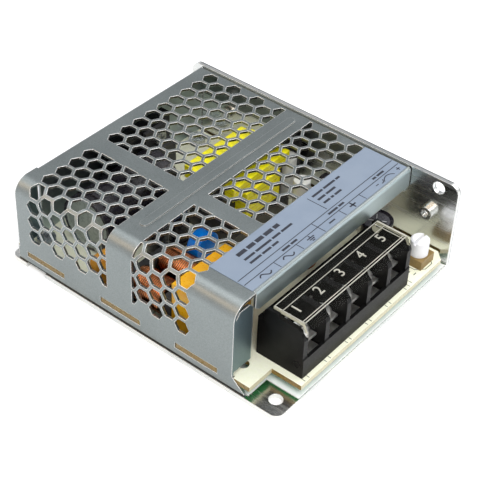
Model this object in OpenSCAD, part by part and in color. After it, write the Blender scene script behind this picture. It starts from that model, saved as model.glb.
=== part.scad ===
// Mesh case switching power supply: an L-shaped chassis, a folded perforated
// cover, a circuit board with its parts and a screw terminal block.

/* [Case] */
// Width across the chassis, mm
case_width = 82; // [80:0.5:84]
// Length from the terminal end to the rear, mm
case_length = 99; // [97:0.5:102]
// Height of the chassis wall, mm
case_height = 30; // [30:0.5:33]
// Chassis sheet thickness, mm
chassis_sheet = 1.5; // [1.2:0.1:1.6]
// Cover sheet thickness, mm
cover_sheet = 0.8; // [0.6:0.1:1]
// Outside radius of the cover's long bend, mm
cover_bend = 5; // [4:0.5:6]

/* [Perforation] */
// Centre distance of neighbouring hexagons, mm
hex_pitch = 5.3; // [5.2:0.05:5.4]
// Metal left between neighbouring hexagons, mm
hex_web = 0.85; // [0.7:0.05:1.1]

/* [Board] */
// Circuit board thickness, mm
board_sheet = 1.6; // [1.4:0.1:1.8]
// Clear height under the circuit board, mm
board_lift = 2.5; // [2.4:0.1:3]

/* [Terminal block] */
// Centre distance of the terminals, mm
pole_pitch = 9.5; // [9.3:0.1:9.6]
// Height of the block over the board, mm
block_height = 17; // [16.6:0.1:17.4]
// Depth of the block front to back, mm
block_depth = 15.4; // [15.4:0.1:16]
// Width across the square washers, mm
washer_width = 6.6; // [6:0.1:6.8]

/* [Transformer] */
// Transformer length across the case, mm
trafo_length = 28; // [26:0.5:29]
// Transformer width along the case, mm
trafo_width = 20; // [18:0.5:21]
// Transformer height over the board, mm
trafo_height = 20.4; // [19:0.2:21]

/* [Hidden] */
$fn = 48;
slip = 0.05;
gap = 0.3;
xr = case_width / 2;
xl = -xr;
yr = case_length / 2;
yf = -yr;
wall_in = xr - chassis_sheet;
wall_crown = 3;
plate_round = 2.5;
plate_bend = chassis_sheet + 0.5;

foot_hole_r = 2;
foot_x = xl + 5.2;
foot_y = yf + 4.6;
rim_notch = [7.5, 1.2];
rim_notch_y = yr - 14;
side_hole_z = case_height - 3;
side_hole_y = yf + 6.4;
collar_z = 17.6;
collar_y = yf + 8.6;
collar_y2 = yr - 15.4;
collar_r = 2.15;
collar_out = 1.9;
thread_r = 1.25;

cover_z = case_height - 0.4;
cover_x = xl + 0.5;
cover_front = yf + 15.9;
cover_rear = yr - 3.5;
cover_in = cover_x + cover_sheet;
cover_low = cover_z - cover_sheet;
bend_x = cover_x + cover_bend;
bend_z = cover_z - cover_bend;
fold_r = cover_sheet + 0.3;
lip_drop = 6.6;
lip_left = cover_x + 8.8;
cheek_right = cover_x + 7.9;
cheek_low = 6.9;
flange_drop = 9;
toe_y = cover_front - 4.3;
bead_x = 32.2;
bead_w = 2.6;
bead_up = 0.35;
bead_y = 6.4;

hex_row = hex_pitch * sqrt(3) / 2;
hex_across = hex_pitch - hex_web;
hex_corner = hex_across / sqrt(3);
hex_x0 = -1.4;
hex_y0 = cover_rear - 7.05;
arc_mid = (cover_bend - cover_sheet / 2) * PI / 2;
band_x = [-14.8, -9];
band_y = [1.8, 11.1];
field_right = wall_in - 1.5;
field_front = -19;
bend_flat = hex_x0 - 6 * hex_pitch - bend_x;

board_z = chassis_sheet + board_lift;
board_top = board_z + board_sheet;
board_left = cover_in + 0.2;
board_right = wall_in - 0.6;
board_front = yf + 0.3;
board_rear = yr - 2;
lobe_left = xl + 0.7;
lobe_y = yf + 10.1;
notch_x = xl + 10.1;
corner_cut = 2.7;
board_slots = [[-28.7, -13.7], [-1.1, 13.9], [27.9, 42.9]];
slot_margin = 0.3;
slot_low = board_z - 0.2;
slot_high = board_top + 0.2;
tab_end = cover_x + 0.05;
sheet_t = 0.3;
sheet_top = chassis_sheet + sheet_t;
post_r = 2.6;
post_y = board_rear - 5.4;
post_at = [[cover_in + 6.2, post_y], [wall_in - 6, post_y], [wall_in - 6, -21.5]];
post_bore = 1.25;
rear_low = board_top + 0.6;

poles = 5;
block_x = -4.1;
block_front = yf + 1.7;
block_rear = block_front + block_depth;
rib = 1.9;
end_wall = 1.1;
block_w = poles * pole_pitch + rib;
block_l = block_x - block_w / 2;
block_r = block_x + block_w / 2;
well_floor = board_top + 4;
lip_top = board_top + 6.5;
back_top = board_top + 13.3;
back_wall = 3;
contact_t = 0.8;
contact_top = well_floor + contact_t;
contact_w = pole_pitch - rib - 2 * gap;
screw_y = block_front + 6;
screw_r = 1.5;
head_r = 2.8;
head_h = 2.2;
washer_t = 0.8;
screw_lift = 3.1;
washer_z = contact_top + screw_lift + slip;
head_z = washer_z + washer_t;
shaft_len = 5;

lid_t = 1;
lid_z = board_top + block_height;
lid_front = block_front + 1.4;
lid_rear = block_front + 11.6;
lid_l = block_l + end_wall + 0.25;
lid_r = block_r - end_wall - 0.25;
pin_r = 0.75;
pin_y = block_front + 11;
pin_z = lid_z - 1;
pin_len = 0.8;
ear_t = 1.2;
ear_r = 1.3;

trim_x = wall_in - 8.1;
trim_y = yf + 5.4;
trim_w = 6.6;
trim_h = 3;
knob_r = 2.8;
knob_h = 5.4;

out_r = 5;
out_h = 12;
out_at = [[block_r + 5.4, block_rear + 0.4], [wall_in - 6.9, -12.5]];
rect_l = wall_in - 6.3;
rect_r = wall_in - 1.9;

trafo_x = wall_in - 26;
trafo_y = 9.6;
core_t = 6;
tape_t = 0.35;
trafo_l = trafo_x - trafo_length / 2;
trafo_r = trafo_x + trafo_length / 2;
trafo_f = trafo_y - trafo_width / 2;
trafo_b = trafo_y + trafo_width / 2;
trafo_top = board_top + trafo_height;
bobbin_h = 3.2;
glue_r = 2.4;
glue_x = trafo_r + glue_r + 0.45;
choke_r = 4.8;
choke_leg = 2.8;
choke_x = [cover_in + 5.6, cover_in + 16.8];
choke_y = [-6.4, 4.6];
choke_z = board_top + 7.2;
yoke_t = 2.4;
disc_r = 4.6;
disc_x = choke_x[1] + choke_r + gap + disc_r;
bulk_r = 9;
bulk_len = 31;
bulk_x = -28;
bulk_y = 31;
bulk_z = board_top + bulk_r;
sink_t = 1.6;
sink_x = [-10, 19];
sink_y = 41;
sink_top = board_top + 19.4;

// A box between two corners.
module box(a, b) {
    translate(a) cube([b[0] - a[0], b[1] - a[1], b[2] - a[2]]);
}

// A cylinder along X from x0 to x1.
module rod_x(x0, x1, y, z, r) {
    translate([x0, y, z]) rotate([0, 90, 0]) cylinder(r = r, h = x1 - x0);
}

// A quarter bend of sheet, running along Y, outside corner at lower left.
module bend_y(r, t, y0, y1) {
    translate([0, y1, 0]) rotate([90, 0, 0])
        rotate([0, 0, 180]) rotate_extrude(angle = 90)
            translate([r - t, 0]) square([t, 1]);
}

// Chassis: base plate and right wall, one bent sheet with its holes.
module chassis() {
    color([0.82, 0.83, 0.84])
    difference() {
        union() {
            box([xl, yf, 0], [xr - plate_bend, yr, chassis_sheet]);
            box([wall_in, yf, plate_bend], [xr, yr, case_height]);
            translate([xr - plate_bend, yr, plate_bend]) rotate([90, 0, 0])
                linear_extrude(case_length) intersection() {
                    difference() {
                        circle(r = plate_bend);
                        circle(r = plate_bend - chassis_sheet);
                    }
                    translate([0, -plate_bend]) square(plate_bend);
                }
            rod_x(wall_in - collar_out, wall_in + 0.5, collar_y, collar_z, collar_r);
            rod_x(wall_in - collar_out, wall_in + 0.5, collar_y2, collar_z, collar_r);
        }
        for (s = [0, 1]) mirror([0, s, 0])
            difference() {
                box([wall_in - 1, yr - wall_crown, case_height - wall_crown],
                    [xr + 1, yr + 1, case_height + 1]);
                rod_x(wall_in - 2, xr + 2, yr - wall_crown,
                    case_height - wall_crown, wall_crown);
            }
        for (s = [0, 1]) mirror([0, s, 0])
            difference() {
                box([xl - 1, yf - 1, -1],
                    [xl + plate_round, yf + plate_round, chassis_sheet + 1]);
                translate([xl + plate_round, yf + plate_round, -2])
                    cylinder(r = plate_round, h = chassis_sheet + 4);
            }
        translate([foot_x, foot_y, -1])
            cylinder(r = foot_hole_r, h = chassis_sheet + 2);
        box([xl - 1, rim_notch_y, -1],
            [xl + rim_notch[1], rim_notch_y + rim_notch[0], chassis_sheet + 1]);
        rod_x(wall_in - 1, xr + 1, side_hole_y, side_hole_z, foot_hole_r);
        rod_x(wall_in - 4, xr + 1, collar_y, collar_z, thread_r);
        rod_x(wall_in - 4, xr + 1, collar_y2, collar_z, thread_r);
        for (y = cover_screw_y) {
            rod_x(wall_in - 1, xr + 1, y, cover_screw_z, screw_r + 0.1);
            translate([xr + 0.01, y, cover_screw_z]) rotate([0, -90, 0])
                cylinder(r1 = sunk_r + slip, r2 = screw_r + slip, h = sunk_h);
        }
    }
}

cover_screw_y = [-18, 33];
cover_screw_z = cover_z - 5;
sunk_r = 2.7;
sunk_h = 1.2;

// Cover screws: two countersunk screws through the wall into the cover.
module cover_screws() {
    color([0.75, 0.76, 0.77])
    for (y = cover_screw_y) difference() {
        union() {
            translate([xr - slip, y, cover_screw_z]) rotate([0, -90, 0])
                cylinder(r1 = sunk_r - slip, r2 = screw_r, h = sunk_h);
            rod_x(wall_in - cover_sheet - 1.6, xr - 0.5, y, cover_screw_z,
                thread_r - slip);
        }
        box([xr - 0.6, y - 1.6, cover_screw_z - 0.3],
            [xr + 1, y + 1.6, cover_screw_z + 0.3]);
        box([xr - 0.6, y - 0.3, cover_screw_z - 1.6],
            [xr + 1, y + 0.3, cover_screw_z + 1.6]);
    }
}

function row_y(j) = hex_y0 - j * hex_row;
function row_shift(j) = (j % 2) * hex_pitch / 2;

module hex() {
    rotate(30) circle(r = hex_corner, $fn = 6);
}

// The four punched fields, as seen from above.
module top_fields() {
    for (y = [[band_y[1], cover_rear - 4], [field_front, band_y[0]]]) {
        translate([bend_x - 2, y[0]])
            square([band_x[0] - bend_x + 2, y[1] - y[0]]);
        translate([band_x[1], y[0]])
            square([field_right - band_x[1], y[1] - y[0]]);
    }
}

module top_holes() {
    intersection() {
        top_fields();
        for (j = [0 : 12]) for (k = [-6 : 7])
            if (k * hex_pitch - row_shift(j) > -6.1 * hex_pitch)
                translate([hex_x0 + k * hex_pitch - row_shift(j), row_y(j)]) hex();
    }
}

// The punched fields on the side, drawn as [Y, Z].
module side_holes() {
    intersection() {
        for (y = [[band_y[1], cover_rear - 4], [field_front, band_y[0]]])
            translate([y[0], 5]) square([y[1] - y[0], bend_z]);
        for (j = [0 : 12]) for (k = [2 : 4])
            if (side_z(j, k) < bend_z - hex_across / 2)
                translate([row_y(j), side_z(j, k)]) rotate(90) hex();
    }
}

function side_u(j, k) = k * hex_pitch - row_shift(j);
function side_z(j, k) = bend_z - (side_u(j, k) - bend_flat - arc_mid);

// One hexagonal punch at u along the sheet, for holes on the bend.
module bend_punch(u, y) {
    a = min(90, max(0, (u - bend_flat) / arc_mid * 90));
    over = max(0, u - bend_flat - arc_mid);
    back = max(0, bend_flat - u);
    intersection() {
        translate([bend_x + back, y, bend_z - over]) rotate([0, -a, 0])
            translate([0, 0, cover_bend - cover_sheet - 1])
                linear_extrude(cover_sheet + 2) hex();
        union() {
            box([xl - 3, band_y[1], 4], [0, cover_rear, case_height + 3]);
            box([xl - 3, field_front - 1, 4], [0, band_y[0], case_height + 3]);
        }
    }
}

module bend_holes() {
    for (j = [0 : 12]) for (k = [0 : 2]) {
        u = side_u(j, k);
        if (u > 0.4 * hex_pitch && side_z(j, k) >= bend_z - hex_across / 2
            && (row_y(j) > band_y[1] - 1 || row_y(j) < band_y[0] + 1))
            bend_punch(u, row_y(j));
    }
}

// Cover: one folded perforated sheet, top, left side and its flanges.
module cover() {
    color([0.66, 0.69, 0.72])
    difference() {
        union() {
            cover_top();
            cover_side();
            translate([bend_x, cover_rear, bend_z]) rotate([90, 0, 0])
                linear_extrude(cover_rear - cover_front) intersection() {
                    difference() {
                        circle(r = cover_bend);
                        circle(r = cover_bend - cover_sheet);
                    }
                    translate([-cover_bend, 0]) square(cover_bend);
                }
            cover_flanges();
            bead();
        }
        bend_holes();
        for (s = board_slots)
            box([cover_x - 1, s[0], slot_low], [cover_in + 1, s[1], slot_high]);
        for (y = cover_screw_y)
            rod_x(wall_in - cover_sheet - 1, wall_in + 1, y, cover_screw_z, thread_r);
    }
}

module cover_top() {
    translate([0, 0, cover_low]) linear_extrude(cover_sheet) difference() {
        translate([bend_x, cover_front + fold_r])
            square([wall_in - fold_r - bend_x,
                cover_rear - cover_front - 2 * fold_r]);
        top_holes();
    }
    for (y = [cover_front, cover_rear - fold_r])
        box([bend_x, y, cover_low], [lip_left, y + fold_r, cover_z]);
}

module cover_side() {
    translate([cover_x, 0, 0]) rotate([90, 0, 90]) linear_extrude(cover_sheet)
        difference() {
            polygon([[cover_front, bend_z], [cover_front, cheek_low - 1],
                [toe_y, chassis_sheet + 0.6], [toe_y, chassis_sheet],
                [cover_rear + 0.4, chassis_sheet], [cover_rear + 0.4, rear_low],
                [cover_rear, rear_low], [cover_rear, bend_z]]);
            side_holes();
        }
}

// Flanges: inner flange at the wall, a short front lip, the rear end wall
// and two side cheeks.
module cover_flanges() {
    box([wall_in - cover_sheet, cover_front + fold_r, cover_z - flange_drop],
        [wall_in, cover_rear - fold_r, cover_z - fold_r]);
    fold(wall_in - fold_r, cover_front + fold_r, cover_rear - fold_r);
    for (s = [0, 1]) {
        y0 = s == 0 ? cover_front : cover_rear - cover_sheet;
        low = s == 0 ? cover_z - lip_drop : rear_low;
        foot = s == 0 ? cheek_low : rear_low;
        translate([0, y0 + cover_sheet, 0]) rotate([90, 0, 0])
            linear_extrude(cover_sheet) polygon([
                [lip_left, cover_z - fold_r],
                [lip_left, low + 1.2],
                [lip_left + 1.6, low],
                [wall_in - 0.4, low],
                [wall_in - 0.4, cover_z - fold_r]]);
        lip_fold(s == 0 ? cover_front + fold_r : cover_rear - fold_r, s);
        translate([0, y0 + cover_sheet, 0]) rotate([90, 0, 0])
            linear_extrude(cover_sheet) polygon([
                [cover_x + 0.3, foot],
                [cheek_right, foot],
                [cheek_right, bend_z + 1],
                [cheek_right - 1.6, bend_z + 2.6],
                [cover_x + 2.4, bend_z + 2.6], [cover_x + 0.3, bend_z]]);
    }
}

// The rounded fold between the top and the inner flange.
module fold(x, y0, y1) {
    translate([x, y1, cover_z - fold_r]) rotate([90, 0, 0])
        linear_extrude(y1 - y0) intersection() {
            difference() {
                circle(r = fold_r);
                circle(r = fold_r - cover_sheet);
            }
            square(fold_r);
        }
}

// The rounded fold between the top and a lip; s is 1 at the rear.
module lip_fold(y, s) {
    translate([lip_left, y, cover_z - fold_r]) rotate([90, 0, 90])
        linear_extrude(wall_in - 0.4 - lip_left) intersection() {
            difference() {
                circle(r = fold_r);
                circle(r = fold_r - cover_sheet);
            }
            translate([s == 0 ? -fold_r : 0, 0]) square(fold_r);
        }
}

// The stiffening bead pressed up along the middle band.
module bead() {
    for (x = [-bead_x, bead_x]) translate([x + 2.2, bead_y, cover_z - 0.2])
        cylinder(r = bead_w / 2, h = bead_up + 0.2);
    box([-bead_x + 2.2, bead_y - bead_w / 2, cover_z - 0.2],
        [bead_x + 2.2, bead_y + bead_w / 2, cover_z + bead_up]);
}

// Label: printed sticker on the front of the cover top.
module label() {
    color([0.72, 0.76, 0.84])
    box([cover_x + 8.5, cover_front + fold_r, cover_z],
        [wall_in - fold_r, cover_front + 15.6, cover_z + 0.15]);
}

// Insulator: white sheet between chassis and board.
module insulator() {
    color([0.95, 0.95, 0.95])
    difference() {
        box([cover_in + 0.2, board_front, chassis_sheet],
            [xr - plate_bend - 0.2, board_rear - 0.5, sheet_top]);
        box([xl, yf - 1, 0], [notch_x - 0.7, lobe_y + 0.9, 3]);
        for (p = post_at)
            translate([p[0], p[1], 0]) cylinder(r = post_r + gap, h = 4);
    }
}

// Board: circuit board with tabs in the cover slots and a corner cut-out.
module board() {
    color([0.93, 0.93, 0.78])
    difference() {
        translate([0, 0, board_z]) linear_extrude(board_sheet) polygon(concat(
            [[notch_x, board_front], [notch_x, lobe_y], [lobe_left, lobe_y],
            [lobe_left, cover_front - gap], [board_left, cover_front - gap]],
            [for (s = board_slots) each [
                [board_left, s[0] + slot_margin], [tab_end, s[0] + slot_margin],
                [tab_end, s[1] - slot_margin], [board_left, s[1] - slot_margin]]],
            [[board_left, board_rear], [board_right, board_rear],
            [board_right, board_front + corner_cut],
            [board_right - corner_cut, board_front]]));
        translate([cover_x + 6, cover_front + 1, board_z - 1])
            cylinder(r = 1.7, h = board_sheet + 2);
        for (p = post_at) translate([p[0], p[1], board_z - 1])
            cylinder(r = screw_r + slip, h = board_sheet + 2);
    }
}

// Board posts: three bushes pressed into the base plate.
module board_posts() {
    color([0.8, 0.78, 0.7])
    for (p = post_at) translate([p[0], p[1], chassis_sheet]) difference() {
        cylinder(r = post_r, h = board_lift);
        translate([0, 0, 0.4]) cylinder(r = post_bore, h = board_lift);
    }
}

// Board screws: pan-head screws into the posts.
module board_screws() {
    color([0.75, 0.76, 0.77])
    for (p = post_at) translate([p[0], p[1], board_top]) difference() {
        union() {
            cylinder(r = head_r, h = 1.8);
            translate([0, 0, -board_sheet - 1.6])
                cylinder(r = post_bore - slip, h = board_sheet + 2);
        }
        for (a = [0, 90]) rotate(a)
            translate([-1.6, -0.35, 0.9]) cube([3.2, 0.7, 2]);
    }
}

// Outline of an inner barrier, as [Y from the front, Z over the board].
function barrier() = [[0, 0], [0, lip_top - board_top], [0.3, 7], [0.3, 13.2],
    [0.7, 14.4], [1.6, 15.1], [2.6, block_height - 0.2],
    [9, block_height - 0.2], [10.2, 13.3], [block_depth, 13.3],
    [block_depth, 0]];

// Outline of an end wall, with the raised lug for the hinge pin.
function end_cheek() = [[0, 0], [0, 6.5], [0.3, 7], [0.3, 13.2], [0.7, 14.4],
    [1.3, 15], [1.7, 16], [2.6, block_height - 0.3], [8.4, block_height - 0.3],
    [9.2, block_height + 0.5], [12.6, block_height + 0.5],
    [13.4, block_height - 0.4], [13.4, 13.3], [block_depth, 13.3],
    [block_depth, 0]];

module cheek(x, t, outline) {
    translate([x, block_front, board_top]) rotate([90, 0, 90])
        linear_extrude(t) polygon(outline);
}

function pole_x(i) = block_x + (i - 2) * pole_pitch;

// Terminal block: one black moulding, five wells between barriers.
module terminal_block() {
    color([0.07, 0.07, 0.08])
    difference() {
        union() {
            box([block_l, block_front, board_top],
                [block_r, block_rear, well_floor]);
            box([block_l, block_front, board_top],
                [block_r, block_front + 1, lip_top]);
            box([block_l, block_rear - back_wall, board_top],
                [block_r, block_rear, back_top]);
            for (i = [0 : poles - 2])
                cheek(pole_x(i) + pole_pitch / 2 - rib / 2, rib, barrier());
            cheek(block_l, end_wall, end_cheek());
            cheek(block_l, rib, [for (p = barrier())
                [p[0], min(p[1], back_top - board_top)]]);
            cheek(block_r - end_wall, end_wall, end_cheek());
            cheek(block_r - rib, rib, [for (p = barrier())
                [p[0], min(p[1], back_top - board_top)]]);
        }
        for (i = [0 : poles - 1])
            translate([pole_x(i), screw_y, board_top + 0.3])
                cylinder(r = screw_r + 0.4, h = 5);
        rod_x(block_l + 0.2, lid_l, pin_y, pin_z, pin_r + slip);
        rod_x(lid_r, block_r - 0.2, pin_y, pin_z, pin_r + slip);
    }
}

// Terminal contacts: plated strips on the well floors, turned up at the back.
module terminal_contacts() {
    color([0.8, 0.8, 0.78])
    for (i = [0 : poles - 1]) translate([pole_x(i), 0, 0]) difference() {
        union() {
            box([-contact_w / 2, block_front + 1.3, well_floor],
                [contact_w / 2, block_rear - back_wall - gap, contact_top]);
            box([-contact_w / 2, block_rear - back_wall - gap - contact_t,
                well_floor], [contact_w / 2, block_rear - back_wall - gap,
                contact_top + 5]);
        }
        translate([0, screw_y, well_floor - 1])
            cylinder(r = screw_r + slip, h = 4);
    }
}

// A square washer held under the head of a terminal screw.
module washer(i) {
    color([0.82, 0.82, 0.8])
    translate([pole_x(i), screw_y, washer_z]) difference() {
        translate([-washer_width / 2, -washer_width / 2, 0])
            cube([washer_width, washer_width, washer_t]);
        translate([0, 0, -1]) cylinder(r = screw_r + slip, h = 3);
    }
}

module washer_1() { washer(0); }
module washer_2() { washer(1); }
module washer_3() { washer(2); }
module washer_4() { washer(3); }
module washer_5() { washer(4); }

// A terminal screw with a combined slot and cross in its head.
module screw(i) {
    color([0.78, 0.78, 0.76])
    translate([pole_x(i), screw_y, head_z]) difference() {
        union() {
            cylinder(r = head_r, h = head_h - 0.4);
            translate([0, 0, head_h - 0.4])
                cylinder(r1 = head_r, r2 = head_r - 0.4, h = 0.4);
            translate([0, 0, -shaft_len]) cylinder(r = screw_r, h = shaft_len + 1);
        }
        translate([-head_r - 1, -0.4, head_h - 1.1])
            cube([2 * head_r + 2, 0.8, 2]);
        translate([-0.4, -1.6, head_h - 1.1]) cube([0.8, 3.2, 2]);
    }
}

module screw_1() { screw(0); }
module screw_2() { screw(1); }
module screw_3() { screw(2); }
module screw_4() { screw(3); }
module screw_5() { screw(4); }

// Terminal lid: clear hinged cover with a sloped front lip.
module terminal_lid() {
    color([0.9, 0.9, 0.85, 0.4]) {
        translate([lid_l, 0, 0]) rotate([90, 0, 90])
            linear_extrude(lid_r - lid_l) polygon([
                [lid_rear, lid_z], [lid_rear, lid_z + lid_t],
                [lid_front, lid_z + lid_t], [lid_front - 1.2, lid_z - 1.8],
                [lid_front - 0.3, lid_z - 1.8], [lid_front + 0.7, lid_z]]);
        for (x = [lid_l, lid_r - ear_t]) {
            rod_x(x, x + ear_t, pin_y, pin_z, ear_r);
            box([x, pin_y - ear_r, pin_z],
                [x + ear_t, lid_rear, lid_z + 0.2]);
        }
        rod_x(lid_l - pin_len, lid_l + 0.2, pin_y, pin_z, pin_r);
        rod_x(lid_r - 0.2, lid_r + pin_len, pin_y, pin_z, pin_r);
    }
}

// Trimmer base: brown body of the voltage trimmer.
module trimmer_base() {
    color([0.55, 0.4, 0.15])
    difference() {
        box([trim_x - trim_w / 2, trim_y - trim_w / 2, board_top],
            [trim_x + trim_w / 2, trim_y + trim_w / 2, board_top + trim_h]);
        translate([trim_x, trim_y, board_top + 1])
            cylinder(r = 1 + slip, h = trim_h);
    }
}

// Trimmer knob: white slotted knob that sets the output voltage.
module trimmer_knob() {
    color([0.96, 0.96, 0.97])
    translate([trim_x, trim_y, board_top + trim_h + 0.1]) difference() {
        union() {
            cylinder(r = knob_r, h = knob_h - 0.5);
            translate([0, 0, knob_h - 0.5])
                cylinder(r1 = knob_r, r2 = knob_r - 0.5, h = 0.5);
            translate([0, 0, -1.8]) cylinder(r = 1, h = 2.4);
        }
        box([-knob_r - 1, -0.45, knob_h - 1.2], [knob_r + 1, 0.45, knob_h + 1]);
    }
}

// Bulk capacitor: black sleeved can lying across the case.
module bulk_capacitor() {
    color([0.1, 0.09, 0.12])
    difference() {
        rod_x(bulk_x, bulk_x + bulk_len, bulk_y, bulk_z, bulk_r);
        difference() {
            rod_x(bulk_x + 2, bulk_x + 3, bulk_y, bulk_z, bulk_r + 1);
            rod_x(bulk_x, bulk_x + 5, bulk_y, bulk_z, bulk_r - 0.5);
        }
        rod_x(bulk_x - 1, bulk_x + 0.4, bulk_y, bulk_z, bulk_r - 1.4);
    }
}

// An upright electrolytic can with a rolled groove and a sunk top.
module can(r, h) {
    difference() {
        cylinder(r = r, h = h);
        translate([0, 0, 1.6]) difference() {
            cylinder(r = r + 1, h = 0.7);
            translate([0, 0, -1]) cylinder(r = r - 0.35, h = 3);
        }
        translate([0, 0, h - 0.3]) cylinder(r = r - 0.9, h = 1);
    }
}

// Output capacitors: two upright cans in dark sleeves.
module output_capacitors() {
    color([0.12, 0.12, 0.16])
    for (p = out_at) translate([p[0], p[1], board_top]) can(out_r, out_h);
}

// Small capacitors: two little cans beside the transformer.
module small_capacitors() {
    color([0.12, 0.12, 0.16])
    for (p = [[-8, 13.5], [-16.5, 14]])
        translate([p[0], p[1], board_top]) can(3.15, 11.5);
}

// Transformer core: black ferrite loop around the coil.
module transformer_core() {
    color([0.1, 0.1, 0.11])
    difference() {
        box([trafo_l, trafo_y - core_t, board_top + bobbin_h],
            [trafo_r, trafo_y + core_t, trafo_top - tape_t]);
        box([trafo_l + core_t, trafo_f - 1, board_top + bobbin_h + 3.5],
            [trafo_r - core_t, trafo_b + 1, trafo_top - tape_t - 3.5]);
    }
}

// Transformer coil: taped winding through the core, and the tape on top.
module transformer_coil() {
    color([0.93, 0.85, 0.12]) {
        box([trafo_l + core_t + 0.2, trafo_f, board_top + bobbin_h + 3.7],
            [trafo_r - core_t - 0.2, trafo_b, trafo_top - tape_t - 3.7]);
        box([trafo_l, trafo_y - core_t, trafo_top - tape_t],
            [trafo_r, trafo_y + core_t, trafo_top]);
        for (y = [trafo_y - core_t - 3.2, trafo_y + core_t])
            box([trafo_l + 1, y, trafo_top - 4.2],
                [trafo_r - 1, y + 3.2, trafo_top]);
    }
}

// Transformer bobbin: black base with the pin rails.
module transformer_bobbin() {
    color([0.08, 0.08, 0.08]) {
        box([trafo_l + 1, trafo_f, board_top],
            [trafo_r - 1, trafo_b, board_top + bobbin_h]);
        for (y = [trafo_f, trafo_b - 1.2])
            box([trafo_l + core_t + 0.2, y, board_top + bobbin_h],
                [trafo_r - core_t - 0.2, y + 1.2, board_top + bobbin_h + 3.7]);
    }
}

module rod_y(x, y0, y1, z, r) {
    translate([x, y1, z]) rotate([90, 0, 0]) cylinder(r = r, h = y1 - y0);
}

// Choke core: two ferrite legs joined by a yoke at the front and the rear.
module choke_core() {
    color([0.14, 0.13, 0.13]) {
        for (y = [choke_y[0] - gap - yoke_t, choke_y[1] + gap])
            box([choke_x[0] - choke_leg, y, board_top],
                [choke_x[1] + choke_leg, y + yoke_t, choke_z + choke_leg + 0.6]);
        for (x = choke_x)
            rod_y(x, choke_y[0] - gap - 1, choke_y[1] + gap + 1, choke_z, choke_leg);
    }
}

// Choke coil: one copper winding on each leg.
module choke_coil() {
    color([0.62, 0.3, 0.12])
    for (x = choke_x) difference() {
        rod_y(x, choke_y[0], choke_y[1], choke_z, choke_r);
        rod_y(x, choke_y[0] - 1, choke_y[1] + 1, choke_z, choke_leg);
    }
}

// Film capacitor: orange box across the mains.
module film_capacitor() {
    color([0.95, 0.6, 0.1])
    difference() {
        box([cover_in + 2.7, -19.5, board_top],
            [cover_in + 24.7, -9.5, board_top + 16.4]);
        box([cover_in + 6.7, -20, board_top - 1],
            [cover_in + 20.7, -9, board_top + 0.5]);
    }
}

// Disc capacitor: blue safety capacitor standing on its leads.
module disc_capacitor() {
    color([0.1, 0.4, 0.85]) {
        translate([disc_x, 0, board_top + 9.6]) rotate([90, 0, 0])
            cylinder(r = disc_r, h = 4, center = true);
        for (x = [-3.2, 3.2]) translate([disc_x + x, 0, board_top])
            cylinder(r = 0.4, h = 7);
    }
}

// Varistor: orange disc standing on its leads near the side.
module varistor() {
    color([0.9, 0.5, 0.1]) {
        rod_x(cover_in + 2.3, cover_in + 6.3, 15.5, board_top + 6.5, 5);
        for (y = [-2.5, 2.5])
            translate([cover_in + 4.3, 15.5 + y, board_top])
            cylinder(r = 0.4, h = 5);
    }
}

// Fuse: small upright box fuse at the input.
module fuse() {
    color([0.25, 0.12, 0.06])
    box([cover_in + 3.2, -27.5, board_top],
        [cover_in + 11.7, -23.3, board_top + 8.2]);
}

// Bridge rectifier: flat black body standing on the board.
module bridge_rectifier() {
    color([0.09, 0.09, 0.09])
    box([cover_in + 8.2, 12.5, board_top],
        [cover_in + 11.7, 21.6, board_top + 10]);
}

// Heat sink: black upright plate with a foot, at the rear.
module heat_sink() {
    color([0.06, 0.06, 0.07])
    difference() {
        union() {
            box([sink_x[0], sink_y, board_top],
                [sink_x[1], sink_y + sink_t, sink_top]);
            box([sink_x[0], sink_y, sink_top - sink_t],
                [sink_x[1], sink_y + 3.4, sink_top]);
        }
        translate([12, sink_y + 3, board_top + 14.5]) rotate([90, 0, 0])
            cylinder(r = thread_r, h = 6);
    }
}

// Switch transistor: tab package clamped flat on the heat sink.
module switch_transistor() {
    color([0.1, 0.1, 0.1])
    difference() {
        union() {
            box([7, sink_y - 4.4, board_top + 3],
                [17, sink_y, board_top + 12]);
            box([7, sink_y - 1.2, board_top + 12],
                [17, sink_y, board_top + 17.5]);
            for (x = [-2.54, 0, 2.54])
                box([12 + x - 0.4, sink_y - 2.6, board_top],
                    [12 + x + 0.4, sink_y - 2, board_top + 4]);
        }
        translate([12, sink_y + 1, board_top + 14.5]) rotate([90, 0, 0])
            cylinder(r = screw_r + 0.2, h = 6);
    }
}

// Heat sink screw: holds the transistor tab.
module sink_screw() {
    color([0.75, 0.76, 0.77])
    translate([12, sink_y - 1.2, board_top + 14.5]) rotate([90, 0, 0])
        difference() {
            union() {
                cylinder(r = 2.2, h = 1.8);
                translate([0, 0, -2.6]) cylinder(r = thread_r - slip, h = 3);
            }
            for (a = [0, 90]) rotate(a)
                translate([-1.4, -0.3, 1]) cube([2.8, 0.6, 2]);
        }
}

// Output rectifier: tab package beside the transformer.
module output_rectifier() {
    color([0.1, 0.1, 0.1]) {
        box([rect_l, 4, board_top + 3], [rect_r, 14, board_top + 12]);
        box([rect_r - 1.2, 4, board_top + 12], [rect_r, 14, board_top + 17.5]);
        for (y = [-2.54, 0, 2.54])
            box([rect_l + 1.4, 9 + y - 0.4, board_top],
                [rect_l + 2, 9 + y + 0.4, board_top + 4]);
    }
}

// Output inductor: wound drum in front of the transformer.
module output_inductor() {
    color([0.5, 0.26, 0.1])
    translate([9, -17, board_top]) {
        cylinder(r = 6, h = 1.6);
        cylinder(r = 5.2, h = 12);
        translate([0, 0, 10.6]) cylinder(r = 6, h = 1.6);
    }
}

// Opto coupler: small black package between input and output.
module opto_coupler() {
    color([0.1, 0.1, 0.1])
    box([-6.5, -14, board_top], [0, -9.4, board_top + 3.6]);
}

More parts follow.
